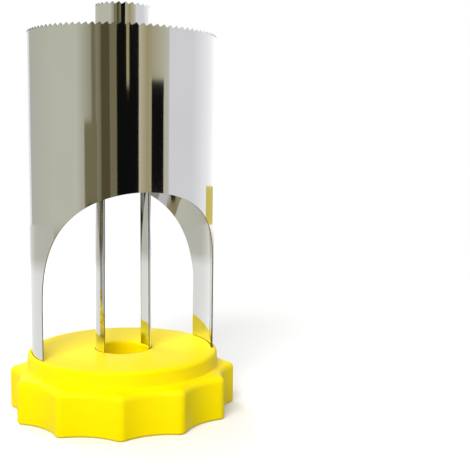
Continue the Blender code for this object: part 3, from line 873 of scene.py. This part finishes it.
class SLICER_OT_spot_welds(Operator):
    """Mark the spot welds on the outer tube's seam"""

    bl_idname = "slicer.spot_welds"
    bl_label = "Spot welds"

    def execute(self, context):
        tube, seam = context.scene.slicer_cutting, context.scene.slicer_seam
        low = tube.arch_apex + seam.weld_margin
        high = tube.rim_height - seam.weld_margin
        deck = context.scene.slicer_grip.deck_height
        slope = (tube.rim_radius - tube.foot_radius) / (tube.rim_height - deck)
        steel = finish("spot_weld_steel", weld_material)
        welds = grown("seam_spot_welds", weld_tree(), {
            "Count": float(seam.welds), "Low": low, "High": high,
            "Low radius": tube.foot_radius + slope * (low - deck),
            "High radius": tube.foot_radius + slope * (high - deck),
            "Mark radius": seam.weld_radius, "Mark height": seam.weld_height, "Finish": steel,
        })
        hand_over(settled(welds, steel), "polished_stainless")
        return {"FINISHED"}


class SLICER_OT_grip(Operator):
    """Mould the lobed grip with its disc, bore and leg slots"""

    bl_idname = "slicer.grip"
    bl_label = "Grip"

    def execute(self, context):
        scene = context.scene
        sizes = scene.slicer_grip
        data = bmesh.new()
        loops = []
        for ring, height in grip_rings(sizes, scene.slicer_cover):
            points = [(r * math.cos(a), r * math.sin(a), height) for r, a in ring]
            loops.append([data.verts.new(point) for point in points])
        for lower, upper in zip(loops, loops[1:] + loops[:1]):
            for i in range(len(lower)):
                after = (i + 1) % len(lower)
                data.faces.new((lower[i], lower[after], upper[after], upper[i]))
        grip = shape_object("moulded_grip", data, finish("moulded_yellow", plastic_material))
        fold = scene.slicer_seam.fold
        cutters = leg_cutters(sizes, scene.slicer_cutting, sizes.sleeve_foot - fold)
        inner = leg_cutters(sizes, scene.slicer_coring, sizes.sleeve_foot - fold)
        cut(grip, cutters + inner)
        hand_over(grip, "yellow_plastic", "handle_shell")
        return {"FINISHED"}


class SLICER_OT_base_cover(Operator):
    """Turn the base cover with its collar and countersunk holes"""

    bl_idname = "slicer.base_cover"
    bl_label = "Base cover"

    def execute(self, context):
        sizes, grip = context.scene.slicer_cover, context.scene.slicer_grip
        top = sizes.bottom + sizes.plate
        collar = grip.bore_radius + sizes.collar_wall
        edge = rounding(sizes.edge, grip.round_steps)
        profile = [(grip.bore_radius, sizes.collar_top), (collar, sizes.collar_top), (collar, top)]
        profile += [(sizes.radius - i, top - d) for i, d in reversed(edge)]
        profile += [(sizes.radius - i, sizes.bottom + d) for i, d in edge]
        profile += [(grip.bore_radius + i, sizes.bottom + d) for i, d in reversed(edge)]
        plastic = finish("moulded_yellow", plastic_material)
        cover = turned("moulded_base_cover", profile, COVER_STEPS, plastic)
        wide = sizes.head_radius + grip.clearance
        narrow = sizes.shank_radius + grip.clearance
        seat = sizes.bottom + sizes.head_height
        hole = [
            (0, top + sizes.plate), (narrow, top + sizes.plate), (narrow, seat),
            (wide, sizes.bottom), (wide, sizes.bottom - sizes.plate), (0, sizes.bottom - sizes.plate),
        ]
        cutters = []
        for i in range(len(COVER_SCREWS)):
            turn = math.pi * (2 * i + 1) / len(COVER_SCREWS)
            cutter = turned(f"screw_hole_{i + 1}", hole, HOLE_STEPS)
            circle = sizes.screw_circle
            cutter.location = (circle * math.cos(turn), circle * math.sin(turn), 0)
            cutters.append(cutter)
        cut(cover, cutters, split=True)
        hand_over(cover, "yellow_plastic", "base_cover")
        return {"FINISHED"}


class SLICER_OT_cover_screws(Operator):
    """Set the four countersunk screws with their crosses into the base cover"""

    bl_idname = "slicer.cover_screws"
    bl_label = "Cover screws"

    def execute(self, context):
        sizes = context.scene.slicer_cover
        profile = [
            (0, SCREW_HIGH.z),
            (sizes.shank_radius, SCREW_HIGH.z - sizes.point),
            (sizes.shank_radius, sizes.bottom + sizes.head_height),
            (sizes.head_radius, sizes.bottom),
            (0, sizes.bottom),
        ]
        zinc = finish("zinc_plate", zinc_material)
        screw = turned("screw_model", profile, SCREW_STEPS, zinc)
        bars = []
        long, short = sizes.slot_length, sizes.slot_width
        for turn, across, along in ((0, long, short), (math.pi / 2, short, long)):
            data = bmesh.new()
            bmesh.ops.create_cube(data, size=1)
            bar = shape_object(f"cross_bar_{len(bars) + 1}", data)
            bar.data.transform(Euler((0, 0, turn)).to_matrix().to_4x4())
            bar.scale = (across, along, sizes.slot_depth * 2)
            bar.location = (0, 0, sizes.bottom)
            bars.append(bar)
        cut(screw, bars)
        copies = grown("cover_screw_set", screw_tree(screw), {
            "Circle": sizes.screw_circle, "Turn step": SCREW_TURN_STEP, "Finish": zinc,
        })
        settled(copies, zinc)
        bpy.data.objects.remove(screw)
        hand_over(copies, "zinc_plated_steel", *COVER_SCREWS)
        return {"FINISHED"}


class SLICER_OT_foot_screws(Operator):
    """Plate the screws that hold the folded feet inside the grip"""

    bl_idname = "slicer.foot_screws"
    bl_label = "Foot screws"

    def execute(self, context):
        zinc = finish("zinc_plate", zinc_material)
        for name in FOOT_SCREWS:
            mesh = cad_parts[name].data
            mesh.materials.clear()
            mesh.materials.append(zinc)
        return {"FINISHED"}


# Plain tints of the cards. All are round values.
CARD_WHITE = (1.3, 1.3, 1.3)
CARD_PALE = (0.8, 0.8, 0.85)
CARD_STONE = (0.6, 0.6, 0.5)
CARD_GREY = (0.5, 0.5, 0.45)
CARD_BEIGE = (0.6, 0.55, 0.4)
CARD_SAND = (0.4, 0.35, 0.2)
CARD_OLIVE = (0.2, 0.18, 0.1)
CARD_BROWN = (0.1, 0.08, 0.04)
CARD_BLACK = (0.005, 0.005, 0.005)
CARD_YELLOW = (0.7, 0.6, 0.15)
# Upright cards that stand round the slicer and show in its steel. A row gives the name, the left and
# right edge in degrees to the right of the camera, the lower and upper edge in metres, and the tints
# at the left and right edge. A later card stands before an earlier one.
PANELS = (
    ("left_white", (-180, -145), (0, 0.6), CARD_WHITE, CARD_PALE),
    ("left_grey", (-145, -90), (0, 0.6), CARD_GREY, CARD_STONE),
    ("left_stone", (-90, -55), (0, 0.6), CARD_STONE, CARD_STONE),
    ("left_fade", (-55, -25), (0, 0.6), CARD_STONE, CARD_OLIVE),
    ("left_block", (-45, -30), (0, 0.15), CARD_OLIVE, CARD_OLIVE),
    ("upper_strip", (-36, -31), (0.15, 0.6), CARD_OLIVE, CARD_OLIVE),
    ("brown_post", (-25, -15), (0, 0.6), CARD_BROWN, CARD_BROWN),
    ("olive_strip", (-15, -7), (0, 0.6), CARD_OLIVE, CARD_OLIVE),
    ("black_flag", (-7, 18), (0, 0.6), CARD_BLACK, CARD_BLACK),
    ("light_strip", (4, 7), (0.2, 0.3), CARD_SAND, CARD_SAND),
    ("right_beige", (18, 28), (0, 0.6), CARD_BEIGE, CARD_SAND),
    ("right_sand", (28, 55), (0, 0.6), CARD_SAND, CARD_STONE),
    ("dark_block", (33, 48), (0.02, 0.21), CARD_BLACK, CARD_BLACK),
    ("right_pale", (55, 90), (0, 0.6), CARD_PALE, CARD_PALE),
    ("right_white", (90, 160), (0, 0.6), CARD_PALE, CARD_WHITE),
    ("right_edge", (160, 180), (0, 0.6), CARD_WHITE, CARD_PALE),
    ("yellow_card", (122, 150), (0, 0.06), CARD_YELLOW, CARD_YELLOW),
    ("low_sand", (15, 60), (0, 0.04), CARD_SAND, CARD_SAND),
    ("low_dark", (-42, -20), (0, 0.03), CARD_BLACK, CARD_BLACK),
    ("high_stone", (-180, -50), (0.3, 0.6), CARD_STONE, CARD_STONE),
    ("high_sand", (10, 28), (0.3, 0.6), CARD_BEIGE, CARD_SAND),
)
PANEL_STEP = math.radians(2)
PANEL_LAYER = 0.001
APRON_LAYER = 0.0001
WHITE = (1, 1, 1)
# The floor as the steel sees it. The pool is its lit part near the slicer. Between the two angles its
# aprons turn from white to grey, and past its edge the floor fades over a share of its reach. From
# FLOOR_TURN to the left to as much to the right, as a share of the distance, the floor turns to its
# right side's tint, and FLOOR_MIRROR is the share of that look in what the steel sees.
POOL_WHITE = (0.95, 0.95, 0.94)
POOL_GREY = (0.58, 0.58, 0.57)
POOL_TURNS_GREY = (60, 110)
POOL_FADE = 0.25
RIGHT_FLOOR = (1.25, 1.25, 1.25)
FLOOR_TURN = 0.6
FLOOR_MIRROR = 0.88


def stage_material(name):
    """A material for the studio with its tree, from which the usual shader is taken out."""
    material = bpy.data.materials.new(name)
    material.use_nodes = True
    tree = material.node_tree
    tree.nodes.remove(tree.nodes["Principled BSDF"])
    return material, tree


def card_material(looks):
    """A surface that shows the colours painted on its mesh, whatever light falls on it."""
    material, tree = stage_material("panel_paint")
    tint = add_node(tree, "ShaderNodeAttribute", attribute_name="tint")
    glow = add_node(tree, "ShaderNodeEmission", {"Color": tint.outputs["Color"]})
    tree.links.new(glow.outputs[0], tree.nodes["Material Output"].inputs["Surface"])
    return material


def mixed(first, second, amount):
    """A colour between two others."""
    return [a + (b - a) * amount for a, b in zip(first, second)]


def panel(name, rails, tints):
    """A curved card that only reflections see, spanned by rails that each have two end colours.

    A rail is (distance, height, left angle, right angle), with the angles in radians.
    """
    data = bmesh.new()
    layer = data.verts.layers.float_color.new("tint")
    start, end = rails[0][2:]
    steps = max(1, math.ceil((end - start) / PANEL_STEP))
    columns = []
    for i in range(steps + 1):
        across = i / steps
        column = []
        for (distance, height, start, end), (left, right) in zip(rails, tints):
            turn = start + (end - start) * across
            vert = data.verts.new((distance * math.cos(turn), distance * math.sin(turn), height))
            vert[layer] = (*mixed(left, right, across), 1)
            column.append(vert)
        columns.append(column)
    for first, second in zip(columns, columns[1:]):
        for i in range(len(rails) - 1):
            data.faces.new((first[i], first[i + 1], second[i + 1], second[i]))
    obj = shape_object(name, data, finish("panel_paint", card_material))
    for ray in ("camera", "diffuse", "transmission", "volume_scatter", "shadow"):
        setattr(obj, f"visible_{ray}", False)


def pool_colour(edge):
    """What the steel sees of the near floor: white before the slicer, grey on its right."""
    first, last = POOL_TURNS_GREY
    return mixed(POOL_WHITE, POOL_GREY, min(max((edge - first) / (last - first), 0), 1))


def make_card(studio, place, name, edges, heights, *sides):
    """One standing card. A high one of the front or right goes on along the floor as an apron."""
    facing = math.atan2(studio.camera_place[1], studio.camera_place[0])
    low, high = heights
    distance = studio.panel_distance - PANEL_LAYER * place
    turns = [math.radians(edge) for edge in edges]
    ends = [(distance, low, *turns), (distance, high, *turns)]
    tints = [sides, sides]
    if low == 0 and high >= studio.apron_height and turns[0] >= studio.apron_start:
        level = APRON_LAYER * (place + 1)
        shaded = [[value * studio.apron_shade for value in tint] for tint in sides]
        near = [pool_colour(edge) for edge in edges]
        pool = [mixed(plain, tint, studio.apron_tint) for plain, tint in zip(near, sides)]
        reaches = (studio.apron_end, studio.light_pool, studio.apron_middle, distance)
        ends[:1] = [(reach, level, *turns) for reach in reaches]
        tints[:0] = (pool, pool, shaded)
    rails = [(reach, height, a + facing, b + facing) for reach, height, a, b in ends]
    panel(name, rails, tints)


def light_path(tree, *rays):
    """1 for rays of these kinds and 0 for the others."""
    path = add_node(tree, "ShaderNodeLightPath")
    found = [Field(tree, path.outputs[f"Is {ray} Ray"]) for ray in rays]
    total = found[0]
    for other in found[1:]:
        total = total.math("MAXIMUM", other)
    return total


def make_floor(studio):
    """A pale floor. The camera sees it whiten away from the slicer, and its shadows stay.

    The steel sees the floor white near the slicer and grey further off on the left.
    """
    data = bmesh.new()
    bmesh.ops.create_grid(data, x_segments=1, y_segments=1, size=studio.floor_reach)
    material, tree = stage_material("pale_floor")
    place = add_node(tree, "ShaderNodeTexCoord").outputs["Object"]
    reach = add_node(tree, "ShaderNodeVectorMath", {0: place}, operation="LENGTH")
    reach = Field(tree, reach.outputs["Value"])
    side = Field(tree, add_node(tree, "ShaderNodeSeparateXYZ", {0: place}).outputs[0])
    pool = studio.light_pool
    far = ((reach - pool) / (pool * POOL_FADE)).clamped()
    right = ((side / reach + FLOOR_TURN) / (FLOOR_TURN * 2)).clamped()
    on_left = blend_colour(tree, far, POOL_WHITE, studio.wall)
    in_steel = blend_colour(tree, right, on_left, RIGHT_FLOOR)
    reflected = light_path(tree, "Glossy", "Transmission")
    to_camera = light_path(tree, "Camera")
    seen = blend_colour(tree, reflected, WHITE, in_steel)
    glow = add_node(tree, "ShaderNodeEmission", {"Color": seen, "Strength": 1.0})
    paint = blend_colour(tree, to_camera, studio.floor_bounce, studio.floor_colour)
    matt = add_node(tree, "ShaderNodeBsdfDiffuse", {"Color": paint})
    lift = far * (1 - studio.floor_lift) + studio.floor_lift
    share_seen = (to_camera * lift).math("MAXIMUM", reflected * FLOOR_MIRROR)
    mix = add_node(tree, "ShaderNodeMixShader", {
        0: share_seen, 1: matt.outputs[0], 2: glow.outputs[0],
    })
    tree.links.new(mix.outputs[0], tree.nodes["Material Output"].inputs["Surface"])
    shape_object("studio_floor", data, material)


def make_world(studio):
    """White to the camera, the studio wall's grey in reflections, even soft light on the rest."""
    world = bpy.data.worlds.new("studio")
    bpy.context.scene.world = world
    world.use_nodes = True
    tree = world.node_tree
    tree.nodes.clear()
    soft, wall, white = [
        add_node(tree, "ShaderNodeBackground", {"Color": (*tint, 1), "Strength": strength}).outputs[0]
        for tint, strength in ((WHITE, studio.ambient), (studio.wall, 1), (WHITE, 1))
    ]
    in_steel = light_path(tree, "Glossy", "Transmission")
    to_camera = light_path(tree, "Camera")
    unseen = add_node(tree, "ShaderNodeMixShader", {0: in_steel, 1: soft, 2: wall})
    shown = add_node(tree, "ShaderNodeMixShader", {0: to_camera, 1: unseen.outputs[0], 2: white})
    add_node(tree, "ShaderNodeOutputWorld", {"Surface": shown.outputs[0]})


def make_lamp(name, place, size, power):
    """A square soft lamp that looks at the slicer's middle."""
    lamp = bpy.data.lights.new(name, "AREA")
    lamp.size = size
    lamp.energy = power
    obj = bpy.data.objects.new(name, lamp)
    bpy.context.scene.collection.objects.link(obj)
    obj.location = place
    aim = Vector((0, 0, CAD_BOX[1].z / 2)) - Vector(place)
    obj.rotation_euler = aim.to_track_quat("-Z", "Y").to_euler()


def make_camera(studio):
    camera = bpy.data.cameras.new("studio_camera")
    camera.sensor_width = 36
    camera.lens = studio.lens
    camera.clip_start = 0.01
    obj = bpy.data.objects.new("studio_camera", camera)
    bpy.context.scene.collection.objects.link(obj)
    obj.location = studio.camera_place
    obj.rotation_euler = studio.camera_turn
    bpy.context.scene.camera = obj


class SLICER_OT_studio(Operator):
    """Set up the floor, the light, the reflected panels and the camera"""

    bl_idname = "slicer.studio"
    bl_label = "Studio"

    def execute(self, context):
        studio = context.scene.slicer_studio
        make_floor(studio)
        make_world(studio)
        make_lamp("key_lamp", studio.key_place, studio.lamp_size, studio.key_power)
        make_lamp("back_lamp", studio.back_place, studio.lamp_size, studio.back_power)
        make_camera(studio)
        for place, row in enumerate(PANELS):
            make_card(studio, place, *row)
        context.scene.view_settings.view_transform = "Standard"
        return {"FINISHED"}


class SLICER_PT_sidebar(Panel):
    """Lists the pieces and their sizes in the sidebar"""

    bl_label = "Pineapple slicer"
    bl_idname = "SLICER_PT_sidebar"
    bl_space_type = "VIEW_3D"
    bl_region_type = "UI"
    bl_category = "Slicer"

    def draw(self, context):
        for operator in OPERATORS:
            self.layout.operator(operator.bl_idname)
        for prop, group in SETTINGS.items():
            box = self.layout.box()
            box.label(text=group.__doc__)
            for name in group.__annotations__:
                box.prop(getattr(context.scene, prop), name)


SETTINGS = {
    "slicer_cutting": CuttingTubeSizes,
    "slicer_coring": CoringTubeSizes,
    "slicer_seam": SeamSizes,
    "slicer_grip": GripSizes,
    "slicer_cover": CoverSizes,
    "slicer_looks": FinishLooks,
    "slicer_studio": StudioSettings,
}
OPERATORS = (
    SLICER_OT_cutting_tube,
    SLICER_OT_coring_tube,
    SLICER_OT_spot_welds,
    SLICER_OT_grip,
    SLICER_OT_base_cover,
    SLICER_OT_cover_screws,
    SLICER_OT_foot_screws,
    SLICER_OT_studio,
)


def register():
    for cls in (*SETTINGS.values(), *OPERATORS, SLICER_PT_sidebar):
        bpy.utils.register_class(cls)
    for prop, group in SETTINGS.items():
        setattr(bpy.types.Scene, prop, PointerProperty(type=group))


def unregister():
    for prop in SETTINGS:
        delattr(bpy.types.Scene, prop)
    for cls in reversed((*SETTINGS.values(), *OPERATORS, SLICER_PT_sidebar)):
        bpy.utils.unregister_class(cls)


def main():
    register()
    bpy.ops.slicer.cutting_tube()
    bpy.ops.slicer.coring_tube()
    bpy.ops.slicer.spot_welds()
    bpy.ops.slicer.grip()
    bpy.ops.slicer.base_cover()
    bpy.ops.slicer.cover_screws()
    bpy.ops.slicer.foot_screws()
    bpy.ops.slicer.studio()


if __name__ == "__main__":
    main()
